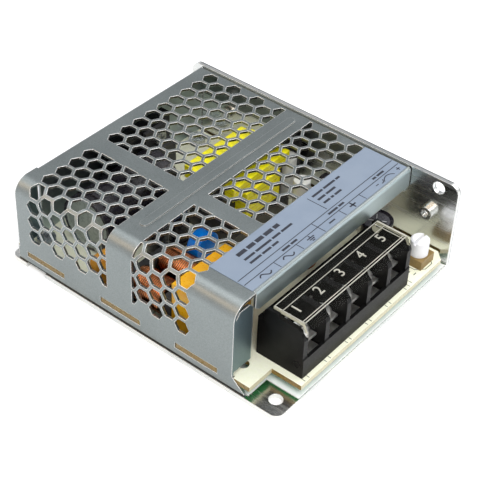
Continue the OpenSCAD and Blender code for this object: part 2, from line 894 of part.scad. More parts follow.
// Board chips: low packages under the board.
module board_chips() {
    color([0.12, 0.12, 0.12])
    for (c = [[-22, -20, 5, 4], [-8, 24, 5, 4], [6, -26, 6, 4], [20, 30, 7, 5],
        [24, -14, 4, 3]])
        box([c[0], c[1], board_z - 1.5], [c[0] + c[2], c[1] + c[3], board_z]);
}

// Glue: white silicone that steadies the tall parts.
module glue() {
    color([0.95, 0.95, 0.93]) {
        translate([glue_x, 3.2, board_top]) cylinder(r = glue_r, h = 15);
        translate([glue_x + 0.2, 15.5, board_top])
            cylinder(r = glue_r - 0.2, h = 17);
        translate([trafo_r - 1.9, -5.5, board_top]) cylinder(r = 2.6, h = 13);
    }
}

chassis();
cover();
label();
insulator();
board();
board_posts();
board_screws();
cover_screws();
terminal_block();
terminal_contacts();
washer_1();
washer_2();
washer_3();
washer_4();
washer_5();
screw_1();
screw_2();
screw_3();
screw_4();
screw_5();
terminal_lid();
trimmer_base();
trimmer_knob();
bulk_capacitor();
output_capacitors();
small_capacitors();
transformer_core();
transformer_coil();
transformer_bobbin();
choke_core();
choke_coil();
film_capacitor();
disc_capacitor();
varistor();
fuse();
bridge_rectifier();
heat_sink();
switch_transistor();
sink_screw();
output_rectifier();
output_inductor();
opto_coupler();
board_chips();
glue();
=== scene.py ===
import math

import bpy
from mathutils import Matrix, Vector


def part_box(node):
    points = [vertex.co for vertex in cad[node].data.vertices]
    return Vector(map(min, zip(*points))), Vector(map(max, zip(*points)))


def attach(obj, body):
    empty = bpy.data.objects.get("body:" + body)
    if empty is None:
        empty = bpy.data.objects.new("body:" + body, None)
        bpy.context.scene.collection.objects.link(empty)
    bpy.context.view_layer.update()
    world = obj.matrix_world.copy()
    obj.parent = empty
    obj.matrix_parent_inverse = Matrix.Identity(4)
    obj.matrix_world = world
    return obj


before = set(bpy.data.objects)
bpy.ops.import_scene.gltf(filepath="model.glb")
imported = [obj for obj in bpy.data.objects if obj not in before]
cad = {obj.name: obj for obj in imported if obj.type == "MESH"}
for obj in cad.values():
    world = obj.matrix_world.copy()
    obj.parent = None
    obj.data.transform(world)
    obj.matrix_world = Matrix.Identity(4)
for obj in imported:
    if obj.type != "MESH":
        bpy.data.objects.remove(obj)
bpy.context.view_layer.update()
mm = 0.001


# ---------------------------------------------------------------------------
# The camera: a long lens held above the left front corner of the case, a
# little out of level. The picture is square.
azimuth, elevation, roll = math.radians(-52.28), math.radians(40.02), math.radians(2.5)
picture_width, focal_length = 480, 1333.3
lens_place = (-0.23306, -0.18330, 0.25756)
back = Vector((math.sin(azimuth) * math.cos(elevation),
               -math.cos(azimuth) * math.cos(elevation), math.sin(elevation)))
level = Vector((math.cos(azimuth), math.sin(azimuth), 0))
rise = back.cross(level)
side = math.cos(roll) * level + math.sin(roll) * rise
over = -math.sin(roll) * level + math.cos(roll) * rise
camera = bpy.data.objects.new("camera", bpy.data.cameras.new("camera"))
camera.data.sensor_width = 36
camera.data.lens = focal_length / picture_width * camera.data.sensor_width
camera.data.clip_start, camera.data.clip_end = 0.01, 20
camera.matrix_world = Matrix.Translation(lens_place) @ Matrix((side, over, back)).transposed().to_4x4()
bpy.context.scene.collection.objects.link(camera)
bpy.context.scene.camera = camera


# ---------------------------------------------------------------------------
# The studio: a pale table that keeps the shadow, a white room that is dimmer
# overhead, one warm panel in it, and four soft lamps. None of it belongs to
# the object.
bpy.context.scene.view_settings.view_transform = "Standard"


def join(tree, *pairs):
    """Links outputs to inputs, pair by pair."""
    for a, b in pairs:
        tree.links.new(a, b)


def maths(tree, what, *values):
    """A Math node whose inputs are numbers or other nodes' outputs."""
    n = tree.nodes.new("ShaderNodeMath")
    n.operation = what
    for socket, v in zip(n.inputs, values):
        if isinstance(v, (int, float)):
            socket.default_value = v
        else:
            tree.links.new(v, socket)
    return n.outputs[0]


def blend(tree, share, a, b):
    """The colour a where share is 0 and b where it is 1."""
    n = tree.nodes.new("ShaderNodeMix")
    n.data_type = "RGBA"
    for socket, v in ((n.inputs[0], share), (n.inputs[6], a), (n.inputs[7], b)):
        if isinstance(v, (int, float)):
            socket.default_value = v
        elif isinstance(v, tuple):
            socket.default_value = (*v, 1)
        else:
            tree.links.new(v, socket)
    return n.outputs[2]


def seen_directly(tree):
    """1 for a ray from the camera, in a mirror or through glass, else 0."""
    path = tree.nodes.new("ShaderNodeLightPath").outputs
    return maths(tree, "MAXIMUM", path["Is Camera Ray"],
                 maths(tree, "MAXIMUM", path["Is Glossy Ray"], path["Is Transmission Ray"]))


room = bpy.data.worlds.new("room")
room.use_nodes = True
bpy.context.scene.world = room
t = room.node_tree
sky = t.nodes["Background"]
way = t.nodes.new("ShaderNodeTexCoord").outputs["Generated"]
cut = t.nodes.new("ShaderNodeSeparateXYZ")
height = t.nodes.new("ShaderNodeMapRange")
height.interpolation_type = "SMOOTHSTEP"
height.inputs["From Min"].default_value = 0.12
height.inputs["From Max"].default_value = 0.62
join(t, (way, cut.inputs[0]), (cut.outputs["Z"], height.inputs["Value"]))
white, overhead, warm = (1.0, 1.0, 1.0), (0.44, 0.45, 0.47), (3.0, 2.3, 1.7)
panel_height, panel_half, panel_left = 0.60, 0.10, -0.3
from_panel = maths(t, "ABSOLUTE", maths(t, "SUBTRACT", cut.outputs["Z"], panel_height))
panel = maths(t, "MULTIPLY", maths(t, "LESS_THAN", cut.outputs["X"], panel_left),
              maths(t, "LESS_THAN", from_panel, panel_half))
seen = blend(t, panel, blend(t, height.outputs[0], white, overhead), warm)
join(t, (blend(t, seen_directly(t), (0.42, 0.42, 0.43), seen), sky.inputs["Color"]))

table = bpy.data.meshes.new("table")
reach = 3
table.from_pydata([(-reach, -reach, 0), (reach, -reach, 0), (reach, reach, 0), (-reach, reach, 0)], [],
                  [(0, 1, 2, 3)])
table_top = bpy.data.objects.new("table", table)
bpy.context.scene.collection.objects.link(table_top)
paper = bpy.data.materials.new("table paper")
paper.use_nodes = True
t = paper.node_tree
shade = t.nodes["Principled BSDF"]
shade.inputs["Roughness"].default_value = 0.9
shade.inputs["Specular IOR Level"].default_value = 0.1
join(t, (blend(t, seen_directly(t), (0.70, 0.70, 0.70), (0.97, 0.97, 0.97)), shade.inputs["Base Color"]))
table.materials.append(paper)

case_middle = Vector((0, 0, 0.01))
lamps = (("key", (-0.32, -0.50, 0.62), 0.5, 4.6), ("fill", (0.62, -0.22, 0.42), 0.5, 2.3),
         ("rear", (-0.15, 0.70, 0.50), 0.4, 1.2), ("top", (0.05, 0.05, 0.85), 0.8, 4.6))
for name, place, size, power in lamps:
    lamp = bpy.data.objects.new(name, bpy.data.lights.new(name, "AREA"))
    lamp.data.shape, lamp.data.size, lamp.data.energy = "SQUARE", size, power
    facing = (Vector(place) - case_middle).to_track_quat("Z", "Y").to_matrix().to_4x4()
    lamp.matrix_world = Matrix.Translation(place) @ facing
    bpy.context.scene.collection.objects.link(lamp)


# ---------------------------------------------------------------------------
# Chassis: one folded sheet of bright zinc-plated steel, the base and the solid
# wall. It is nearly a mirror, with faint rolling lines and rounded cut edges,
# and its wall's outer face is painted darker, a painted dark reflection.
def start_finish(name, rough, metal=0.0, edge=0.12, **sockets):
    """A new material. Returns it with its tree, shader, place and normal sockets."""
    m = bpy.data.materials.new(name)
    m.use_nodes = True
    tree = m.node_tree
    s = tree.nodes["Principled BSDF"]
    s.inputs["Metallic"].default_value = metal
    s.inputs["Roughness"].default_value = rough
    for key, value in sockets.items():
        s.inputs[key.replace("_", " ")].default_value = value
    coord = tree.nodes.new("ShaderNodeTexCoord")
    rounded = tree.nodes.new("ShaderNodeBevel")
    rounded.samples = 4
    rounded.inputs["Radius"].default_value = edge * mm
    bump = tree.nodes.new("ShaderNodeBump")
    bump.inputs["Strength"].default_value = 0.0
    bump.inputs["Distance"].default_value = 0.02 * mm
    join(tree, (rounded.outputs[0], bump.inputs["Normal"]), (bump.outputs[0], s.inputs["Normal"]))
    return m, tree, s, coord.outputs["Object"], bump


def grain(tree, place, scale, stretch=(1, 1, 1), detail=3.0):
    """A noise whose grains are that many per metre, longer where stretch is small."""
    m = tree.nodes.new("ShaderNodeMapping")
    m.inputs["Scale"].default_value = stretch
    n = tree.nodes.new("ShaderNodeTexNoise")
    n.inputs["Scale"].default_value = scale
    n.inputs["Detail"].default_value = detail
    join(tree, (place, m.inputs["Vector"]), (m.outputs[0], n.inputs["Vector"]))
    return n.outputs["Fac"]


def spread(tree, value, low, high, start=0.35, end=0.65):
    """Maps a value between start and end onto low to high."""
    n = tree.nodes.new("ShaderNodeMapRange")
    for key, v in (("From Min", start), ("From Max", end), ("To Min", low), ("To Max", high)):
        n.inputs[key].default_value = v
    join(tree, (value, n.inputs["Value"]))
    return n.outputs[0]


def plain_finish(name, light, dark, rough, metal=0.0, scale=400, stretch=(1, 1, 1), relief=0.1,
                 relief_scale=1500, edge=0.12, **sockets):
    """A material whose colour, gloss and relief vary gently over the surface."""
    m, tree, s, place, bump = start_finish(name, rough[0], metal, edge, **sockets)
    soft = grain(tree, place, scale, stretch)
    fine = grain(tree, place, relief_scale, stretch)
    join(tree, (blend(tree, spread(tree, soft, 0, 1), light, dark), s.inputs["Base Color"]),
         (spread(tree, fine, rough[0], rough[1]), s.inputs["Roughness"]), (fine, bump.inputs["Height"]))
    bump.inputs["Strength"].default_value = relief
    return m


def wear(material, *names):
    """Gives CAD nodes that material."""
    for n in names:
        cad[n].data.materials.clear()
        cad[n].data.materials.append(material)


plated_steel, t, s, place, bump = start_finish("bright plated steel", 0.2, 1.0, edge=0.2)
lines = grain(t, place, 900, (1, 0.04, 1))
waves = grain(t, place, 45)
across = t.nodes.new("ShaderNodeSeparateXYZ")
wall_face = 40.6 * mm
outside = maths(t, "GREATER_THAN", across.outputs["X"], wall_face)
bright_zinc = blend(t, spread(t, waves, 0, 1), (0.74, 0.74, 0.71), (0.60, 0.62, 0.62))
# The wall's outer face gets a darker zinc colour: a painted dark reflection.
painted_dark_reflection_zinc = blend(t, spread(t, waves, 0, 1), (0.34, 0.35, 0.35), (0.27, 0.285, 0.29))
rolled = maths(t, "ADD", maths(t, "MULTIPLY", lines, 0.03), maths(t, "MULTIPLY", waves, 3))
join(t, (place, across.inputs[0]), (blend(t, outside, bright_zinc, painted_dark_reflection_zinc), s.inputs["Base Color"]),
     (spread(t, lines, 0.2, 0.3), s.inputs["Roughness"]), (rolled, bump.inputs["Height"]))
bump.inputs["Strength"].default_value = 0.25
wear(plated_steel, "chassis")


# ---------------------------------------------------------------------------
# Insulator: a white polyester sheet, cut to lie between the base and the
# solder side of the board.
wear(plain_finish("white insulating sheet", (0.93, 0.93, 0.92), (0.88, 0.89, 0.88), (0.35, 0.45),
                  relief=0.05), "insulator")


# ---------------------------------------------------------------------------
# Circuit board: laminate, cream on the component side, green lacquer on the
# solder side and brown on its other edge faces. Its front-facing edges are painted
# pale, a painted highlight. Its print is thin dark ink.
laminate, t, s, place, bump = start_finish("board laminate", 0.3, edge=0.08)
turn = t.nodes.new("ShaderNodeSeparateXYZ")
coord = t.nodes.new("ShaderNodeTexCoord")
join(t, (coord.outputs["Normal"], turn.inputs[0]))
cloth = grain(t, place, 700)
cream = blend(t, spread(t, cloth, 0, 1), (0.94, 0.94, 0.76), (0.90, 0.91, 0.70))
green = blend(t, spread(t, grain(t, place, 120), 0, 1), (0.02, 0.22, 0.06), (0.03, 0.30, 0.08))
core = blend(t, spread(t, grain(t, place, 1500), 0, 1), (0.18, 0.11, 0.02), (0.28, 0.18, 0.04))
to_front = maths(t, "LESS_THAN", turn.outputs["Y"], -0.5)
to_top = maths(t, "GREATER_THAN", turn.outputs["Z"], 0.5)
to_base = maths(t, "LESS_THAN", turn.outputs["Z"], -0.5)
# Front-facing edges get a pale colour: a painted highlight on the lit edge face.
edges = blend(t, to_front, core, (0.60, 0.56, 0.38))
join(t, (blend(t, to_base, blend(t, to_top, edges, cream), green), s.inputs["Base Color"]),
     (spread(t, cloth, 0.25, 0.38), s.inputs["Roughness"]), (cloth, bump.inputs["Height"]))
bump.inputs["Strength"].default_value = 0.06
wear(laminate, "board")
board_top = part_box("board")[1].z / mm


def settle(obj, material, body="case"):
    """Puts a finished piece in the scene, on its body and in its material slot."""
    if obj.name not in bpy.context.scene.collection.objects:
        bpy.context.scene.collection.objects.link(obj)
    if not obj.data.materials:
        obj.data.materials.append(material)
    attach(obj, body)


def ink(name, lines, z, thick=0.03):
    """Flat printed strokes: each line is its width and its points, in mm."""
    points, faces = [], []
    for width, path in lines:
        path = [Vector(p) for p in path]
        first = len(points)
        for i, p in enumerate(path):
            before = (p - path[i - 1]).normalized() if i else (path[1] - p).normalized()
            after = (path[i + 1] - p).normalized() if i + 1 < len(path) else before
            along = (before + after).normalized()
            across = Vector((-along.y, along.x)) * width / 2 / max(0.5, along.dot(before))
            for q in (p + across, p - across):
                points += [(q.x * mm, q.y * mm, (z + h) * mm) for h in (0, thick)]
        for i in range(len(path) - 1):
            a, b = first + 4 * i, first + 4 * i + 4
            faces += [(a + 1, a + 3, b + 3, b + 1), (a, b, b + 2, a + 2),
                      (a, a + 1, b + 1, b), (a + 2, b + 2, b + 3, a + 3)]
        a, b = first, first + 4 * (len(path) - 1)
        faces += [(a, a + 2, a + 3, a + 1), (b, b + 1, b + 3, b + 2)]
    mesh = bpy.data.meshes.new(name)
    mesh.from_pydata(points, [], faces)
    mesh.validate()
    return bpy.data.objects.new(name, mesh)


def round_line(x, y, r, start, end, steps):
    """Points on an arc, in degrees."""
    turns = [math.radians(start + (end - start) * i / steps) for i in range(steps + 1)]
    return [(x + r * math.cos(a), y + r * math.sin(a)) for a in turns]


poles = [-23.1, -13.6, -4.1, 5.4, 14.9]
half_pitch, half_barrier = 4.75, 0.9
thin, bold = 0.22, 0.3
trimmer = (31.4, -44.1)
strokes = []
for barrier in [poles[0] - half_pitch] + [p + half_pitch for p in poles]:
    for x in (barrier - half_barrier, barrier + half_barrier):
        strokes.append((thin, [(x, -48.9), (x, -47.9)]))
strokes += [(0.25, round_line(*trimmer, 4.3, 22.5, 382.5, 8)),
            (bold, round_line(trimmer[0] - 6.2, trimmer[1] + 0.4, 1.6, 60, 300, 12)),
            (bold, [(25.2, -46.9), (26.6, -46.9)]), (bold, [(25.9, -40.7), (25.9, -39.3)]),
            (thin, [(22.2, -37.0), (37.6, -37.0)]), (thin, [(22.2, -48.4), (22.2, -37.0)])]
dark_ink = plain_finish("dark board ink", (0.10, 0.13, 0.10), (0.16, 0.18, 0.14), (0.5, 0.6), relief=0.05)
settle(ink("board_print", strokes, board_top), dark_ink)


# ---------------------------------------------------------------------------
# Board posts and screws: turned posts pressed into the base, and zinc-plated
# pan-head screws. The same plating is on the cover's and the heat sink's screws.
wear(plain_finish("plated post", (0.80, 0.78, 0.70), (0.70, 0.68, 0.60), (0.25, 0.35), 1.0), "board_posts")
zinc = plain_finish("zinc-plated screw", (0.50, 0.51, 0.52), (0.38, 0.40, 0.43), (0.22, 0.34), 1.0, scale=900)
wear(zinc, "board_screws", "cover_screws", "sink_screw")


# ---------------------------------------------------------------------------
# Terminal block: one black glass-filled moulding with five wells between its
# barriers. A small round mark is left by the mould in its left end wall.
black_moulding = plain_finish("black moulding", (0.003, 0.003, 0.003), (0.006, 0.006, 0.006), (0.3, 0.42),
                              scale=300, relief=0.25, relief_scale=3000, edge=0.15, Specular_IOR_Level=0.1)
wear(black_moulding, "terminal_block")


def turned(name, profile, centre, axis, steps=32):
    """A ring turned from a closed (radius, height) profile round an axis, in mm."""
    axis = Vector(axis).normalized()
    turn = axis.to_track_quat("Z", "Y").to_matrix()
    points, faces, n = [], [], len(profile)
    for i in range(steps):
        a = 2 * math.pi * i / steps
        for r, h in profile:
            points.append((turn @ Vector((r * math.cos(a), r * math.sin(a), h)) + Vector(centre)) * mm)
        for j in range(n):
            this, following, up = i * n, (i + 1) % steps * n, (j + 1) % n
            faces.append((this + j, following + j, following + up, this + up))
    mesh = bpy.data.meshes.new(name)
    mesh.from_pydata(points, [], faces)
    mesh.validate()
    return bpy.data.objects.new(name, mesh)


block_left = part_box("terminal_block")[0].x / mm
mark_section = [(0.8, 0), (1.15, 0), (1.05, 0.12), (0.9, 0.12)]
mark = turned("mould_mark", mark_section, (block_left, -45.8, 9.6), (-1, 0, 0))
settle(mark, black_moulding)


# ---------------------------------------------------------------------------
# Contacts, clamp washers and screws: nickel-plated brass and steel. Each screw
# is backed out about three millimetres and lifts its square washer with it.
nickel, t, s, place, bump = start_finish("nickel plating", 0.35, 1.0, edge=0.15)
rub = grain(t, place, 1600, (1, 1, 0.2))
tone = grain(t, place, 260)
join(t, (blend(t, spread(t, tone, 0, 1), (0.95, 0.94, 0.90), (0.82, 0.81, 0.77)), s.inputs["Base Color"]),
     (spread(t, rub, 0.28, 0.45), s.inputs["Roughness"]), (rub, bump.inputs["Height"]))
bump.inputs["Strength"].default_value = 0.12
wear(nickel, "terminal_contacts", *["%s_%d" % (piece, n) for piece in ("washer", "screw") for n in range(1, 6)])


def tree_for(name, **inputs):
    """A new Geometry Nodes tree with named number inputs and one mesh output."""
    g = bpy.data.node_groups.new(name, "GeometryNodeTree")
    for key, kind in inputs.items():
        g.interface.new_socket(key.replace("_", " "), in_out="INPUT", socket_type="NodeSocket" + kind)
    g.interface.new_socket("Mesh", in_out="OUTPUT", socket_type="NodeSocketGeometry")
    return g, g.nodes.new("NodeGroupInput").outputs, g.nodes.new("NodeGroupOutput").inputs


def grow(name, tree, material, **values):
    """Runs a tree once with those sizes and returns the plain mesh it makes."""
    seed = bpy.data.objects.new(name + "_seed", bpy.data.meshes.new(name + "_seed"))
    bpy.context.scene.collection.objects.link(seed)
    m = seed.modifiers.new(name, "NODES")
    m.node_group = tree
    for item in tree.interface.items_tree:
        key = item.name.replace(" ", "_")
        if item.in_out == "INPUT" and key in values:
            m[item.identifier] = values[key]
    bpy.context.view_layer.update()
    mesh = bpy.data.meshes.new_from_object(seed.evaluated_get(bpy.context.evaluated_depsgraph_get()))
    bpy.data.objects.remove(seed)
    mesh.name = name
    if not mesh.materials:
        mesh.materials.append(material)
    return bpy.data.objects.new(name, mesh)


thread_tree, given, made = tree_for("screw thread", Radius="Float", Pitch="Float", Turns="Float", Ridge="Float",
                                    Start="Vector", Finish="Material")
spiral = thread_tree.nodes.new("GeometryNodeCurveSpiral")
ridge = thread_tree.nodes.new("GeometryNodeCurvePrimitiveCircle")
sweep = thread_tree.nodes.new("GeometryNodeCurveToMesh")
move = thread_tree.nodes.new("GeometryNodeTransform")
real = thread_tree.nodes.new("GeometryNodeRealizeInstances")
paint = thread_tree.nodes.new("GeometryNodeSetMaterial")
rise_by = thread_tree.nodes.new("ShaderNodeMath")
rise_by.operation = "MULTIPLY"
spiral.inputs["Resolution"].default_value = 24
ridge.inputs["Resolution"].default_value = 4
sweep.inputs["Fill Caps"].default_value = True
join(thread_tree, (given["Turns"], spiral.inputs["Rotations"]),
     (given["Radius"], spiral.inputs["Start Radius"]), (given["Radius"], spiral.inputs["End Radius"]),
     (given["Turns"], rise_by.inputs[0]),
     (given["Pitch"], rise_by.inputs[1]), (rise_by.outputs[0], spiral.inputs["Height"]),
     (given["Ridge"], ridge.inputs["Radius"]),
     (spiral.outputs[0], sweep.inputs["Curve"]), (ridge.outputs[0], sweep.inputs["Profile Curve"]),
     (sweep.outputs[0], move.inputs["Geometry"]), (given["Start"], move.inputs["Translation"]),
     (move.outputs[0], real.inputs[0]), (real.outputs[0], paint.inputs["Geometry"]),
     (given["Finish"], paint.inputs["Material"]), (paint.outputs[0], made[0]))
screw_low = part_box("screw_1")[0].z
thread_pitch = 0.5 * mm
for n in range(1, 6):
    low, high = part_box("screw_%d" % n)
    middle = (low + high) / 2
    thread = grow("screw_thread_%d" % n, thread_tree, nickel, Radius=1.38 * mm, Pitch=thread_pitch, Turns=8.0,
                  Ridge=0.13 * mm, Start=(middle.x, middle.y, screw_low + 0.3 * mm), Finish=nickel)
    settle(thread, nickel, "screw_%d" % n)


# ---------------------------------------------------------------------------
# Collar threads: the two collars pressed out of the wall are tapped through,
# so their threads are the chassis' own steel.
collar_mouth, collar_height = 37.9, 17.6
for n, y in enumerate((-40.9, 34.1), 1):
    thread = grow("collar_thread_%d" % n, thread_tree, plated_steel, Radius=1.2 * mm, Pitch=thread_pitch,
                  Turns=5.5, Ridge=0.14 * mm, Start=(0, 0, 0), Finish=plated_steel)
    into_wall = Matrix.Translation((collar_mouth * mm, y * mm, collar_height * mm))
    thread.data.transform(into_wall @ Matrix.Rotation(math.pi / 2, 4, "Y"))
    settle(thread, plated_steel)


# ---------------------------------------------------------------------------
# Terminal lid: a clear hinged moulding over the screws. Plain numbers stand
# a little proud of it, one for each terminal.
clear, t, s, place, bump = start_finish("clear lid plastic", 0.06, edge=0.15)
turn = t.nodes.new("ShaderNodeSeparateXYZ")
coord = t.nodes.new("ShaderNodeTexCoord")
# The lid's side and rear faces are painted cream and nearly opaque: a painted glow of light along the clear
# plastic's edges.
painted_edge_glow = maths(t, "MAXIMUM", maths(t, "GREATER_THAN", maths(t, "ABSOLUTE", turn.outputs["X"]), 0.8),
             maths(t, "GREATER_THAN", turn.outputs["Y"], 0.8))
haze = grain(t, place, 250)
join(t, (coord.outputs["Normal"], turn.inputs[0]), (spread(t, painted_edge_glow, 0.07, 0.8, 0, 1), s.inputs["Alpha"]),
     (blend(t, painted_edge_glow, (0.03, 0.03, 0.025), (0.80, 0.77, 0.58)), s.inputs["Base Color"]),
     (spread(t, haze, 0.04, 0.1), s.inputs["Roughness"]), (haze, bump.inputs["Height"]))
bump.inputs["Strength"].default_value = 0.05
wear(clear, "terminal_lid")
frosted = plain_finish("frosted plastic", (0.62, 0.60, 0.52), (0.50, 0.49, 0.42), (0.3, 0.45), relief=0.2,
                       edge=0.05, Alpha=0.6)
lid_low, lid_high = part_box("terminal_lid")
lid_top = lid_high.z
left, right = lid_low.x / mm + 1.0, lid_high.x / mm - 1.0
ribs = [(w, [(left, y), (right, y)]) for w, y in ((0.22, -36.35), (0.22, -39.0), (0.22, -45.4), (0.3, -46.2))]
ribs += [(0.35, [(left, -46.3), (left, -36.3)]), (0.6, [(right, -46.3), (right, -36.3)]),
         (0.25, [(right - 1.6, -46.0), (right - 1.6, -36.6)])]
settle(ink("lid_ribs", ribs, lid_top / mm, 0.12), frosted, "lid")
for n, x in enumerate(poles, 1):
    curve = bpy.data.curves.new("number_%d" % n, "FONT")
    curve.body = str(n)
    curve.align_x = curve.align_y = "CENTER"
    curve.size, curve.extrude = 4.6 * mm, 0.1 * mm
    curve.resolution_u = 4
    text = bpy.data.objects.new("number_%d" % n, curve)
    bpy.context.scene.collection.objects.link(text)
    bpy.context.view_layer.update()
    mesh = bpy.data.meshes.new_from_object(text.evaluated_get(bpy.context.evaluated_depsgraph_get()))
    bpy.data.objects.remove(text)
    mesh.transform(Matrix.Translation(((x - 1.3) * mm, -41.4 * mm, lid_top + 0.09 * mm)))
    mesh.materials.clear()
    settle(bpy.data.objects.new("lid_number_%d" % n, mesh), frosted, "lid")


# ---------------------------------------------------------------------------
# Trimmer: a white slotted knob on a brown phenolic base. The base is soldered
# to the board, and the knob turns in it with a little friction.
wear(plain_finish("brown trimmer base", (0.26, 0.17, 0.05), (0.20, 0.13, 0.04), (0.4, 0.5), relief=0.15),
     "trimmer_base")
wear(plain_finish("white knob", (0.90, 0.90, 0.91), (0.85, 0.85, 0.87), (0.3, 0.4), relief=0.08, edge=0.2),
     "trimmer_knob")


# ---------------------------------------------------------------------------
# Electrolytic capacitors: aluminium cans in black shrink sleeves with a pale
# stripe. The bulk one lies across the case and shows its grey rubber end.
def can_finish(name, centres, radius, axis, end_colour, stripe):
    """A sleeve with one pale stripe along it, and a plain disc at each end."""
    m, tree, s, place, bump = start_finish(name, 0.28, edge=0.15, Coat_Weight=0.2)
    away = angle = None
    for centre in centres:
        shift = tree.nodes.new("ShaderNodeVectorMath")
        shift.operation = "SUBTRACT"
        shift.inputs[1].default_value = [c * mm for c in centre]
        cut = tree.nodes.new("ShaderNodeSeparateXYZ")
        join(tree, (place, shift.inputs[0]), (shift.outputs[0], cut.inputs[0]))
        a, b = [cut.outputs[k] for k in "XYZ" if k != axis]
        here = maths(tree, "SQRT", maths(tree, "ADD", maths(tree, "POWER", a, 2), maths(tree, "POWER", b, 2)))
        turn = maths(tree, "ARCTAN2", b, a)
        if away is None:
            away, angle = here, turn
        else:
            nearer = maths(tree, "LESS_THAN", here, away)
            change = maths(tree, "MULTIPLY", nearer, maths(tree, "SUBTRACT", turn, angle))
            angle = maths(tree, "ADD", angle, change)
            away = maths(tree, "MINIMUM", here, away)
    face = maths(tree, "LESS_THAN", away, (radius - 1.0) * mm)
    band = maths(tree, "LESS_THAN", maths(tree, "ABSOLUTE", maths(tree, "SUBTRACT", angle, stripe)), 0.28)
    cloudy = spread(tree, grain(tree, place, 500), 0, 1)
    film = blend(tree, cloudy, (0.008, 0.007, 0.011), (0.014, 0.012, 0.018))
    marked = blend(tree, band, film, (0.50, 0.50, 0.47))
    join(tree, (blend(tree, face, marked, end_colour), s.inputs["Base Color"]),
         (spread(tree, grain(tree, place, 900), 0.22, 0.36), s.inputs["Roughness"]),
         (grain(tree, place, 350), bump.inputs["Height"]))
    bump.inputs["Strength"].default_value = 0.15
    return m


low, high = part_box("bulk_capacitor")
bulk_middle = (low + high) / 2 / mm
output_cans = ((26.0, -32.0, 0), (32.6, -12.5, 0))
small_cans = ((-8.0, 13.5, 0), (-16.5, 14.0, 0))
output_top = 11.7
wear(can_finish("bulk capacitor sleeve", [bulk_middle], 9, "X", (0.30, 0.34, 0.30), -2.2), "bulk_capacitor")
# The output cans' tops are painted near-black: painted shade and a dark reflection on their aluminium tops.
wear(can_finish("output capacitor sleeve", output_cans, 5, "Z", (0.09, 0.09, 0.10), 2.4), "output_capacitors")
wear(can_finish("small capacitor sleeve", small_cans, 3.15, "Z", (0.42, 0.43, 0.44), -0.8), "small_capacitors")
vent = plain_finish("scored vent", (0.75, 0.76, 0.76), (0.62, 0.63, 0.64), (0.35, 0.45), 0.6, relief=0.1)
for n, (x, y, z) in enumerate(output_cans, 1):
    lines = [(0.3, [(x - 2.6, y - 1.5), (x + 2.6, y + 1.5)]), (0.3, [(x - 1.5, y + 2.6), (x + 1.5, y - 2.6)])]
    settle(ink("vent_mark_%d" % n, lines, board_top + output_top, 0.05), vent)


# ---------------------------------------------------------------------------
# Transformer: a black ferrite core on a phenolic pin frame, its winding and
# its top wrapped in yellow polyester tape with overlapping turns.
ferrite = plain_finish("ferrite", (0.02, 0.02, 0.022), (0.035, 0.035, 0.037), (0.5, 0.65), scale=900,
                       relief=0.4, relief_scale=2500)
wear(ferrite, "transformer_core", "choke_core")
tape, t, s, place, bump = start_finish("yellow polyester tape", 0.25, edge=0.25, Coat_Weight=0.3)
cut = t.nodes.new("ShaderNodeSeparateXYZ")
join(t, (place, cut.inputs[0]))
lap_width = 2.2 * mm
lap = maths(t, "FRACT", maths(t, "MULTIPLY", cut.outputs["Z"], 1 / lap_width))
cloudy = grain(t, place, 220)
yellow = blend(t, spread(t, cloudy, 0, 1), (1.0, 0.93, 0.02), (0.95, 0.84, 0.01))
join(t, (blend(t, maths(t, "LESS_THAN", lap, 0.10), yellow, (0.70, 0.52, 0.01)), s.inputs["Base Color"]),
     (spread(t, cloudy, 0.2, 0.35), s.inputs["Roughness"]),
     (maths(t, "ADD", lap, cloudy), bump.inputs["Height"]))
bump.inputs["Strength"].default_value = 0.3
wear(tape, "transformer_coil")
wear(plain_finish("phenolic frame", (0.03, 0.03, 0.03), (0.05, 0.045, 0.04), (0.4, 0.5), relief=0.15),
     "transformer_bobbin")


# ---------------------------------------------------------------------------
# Choke and output inductor: enamelled copper wire wound close on ferrite. Each
# winding is one wire swept along its spiral.
enamel = plain_finish("copper enamel", (0.55, 0.21, 0.08), (0.15, 0.05, 0.018), (0.08, 0.15), 1.0, scale=250,
                      relief=0.02, Coat_Weight=0.3)
wear(enamel, "choke_coil", "output_inductor")
winding_tree, given, made = tree_for("winding", Radius="Float", Length="Float", Turns="Float", Wire="Float",
                                     Centre="Vector", Turn="Vector", Finish="Material")
spiral = winding_tree.nodes.new("GeometryNodeCurveSpiral")
wire = winding_tree.nodes.new("GeometryNodeCurvePrimitiveCircle")
sweep = winding_tree.nodes.new("GeometryNodeCurveToMesh")
move = winding_tree.nodes.new("GeometryNodeTransform")
smooth = winding_tree.nodes.new("GeometryNodeSetShadeSmooth")
real = winding_tree.nodes.new("GeometryNodeRealizeInstances")
paint = winding_tree.nodes.new("GeometryNodeSetMaterial")
spiral.inputs["Resolution"].default_value = 32
wire.inputs["Resolution"].default_value = 8
sweep.inputs["Fill Caps"].default_value = True
join(winding_tree, (given["Turns"], spiral.inputs["Rotations"]),
     (given["Radius"], spiral.inputs["Start Radius"]), (given["Radius"], spiral.inputs["End Radius"]),
     (given["Length"], spiral.inputs["Height"]),
     (given["Wire"], wire.inputs["Radius"]), (spiral.outputs[0], sweep.inputs["Curve"]),
     (wire.outputs[0], sweep.inputs["Profile Curve"]), (sweep.outputs[0], smooth.inputs["Geometry"]),
     (smooth.outputs[0], move.inputs["Geometry"]), (given["Centre"], move.inputs["Translation"]),
     (given["Turn"], move.inputs["Rotation"]), (move.outputs[0], real.inputs[0]),
     (real.outputs[0], paint.inputs["Geometry"]), (given["Finish"], paint.inputs["Material"]),
     (paint.outputs[0], made[0]))
low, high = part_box("choke_coil")
coil_radius, margin = (high.z - low.z) / 2, 0.4 * mm
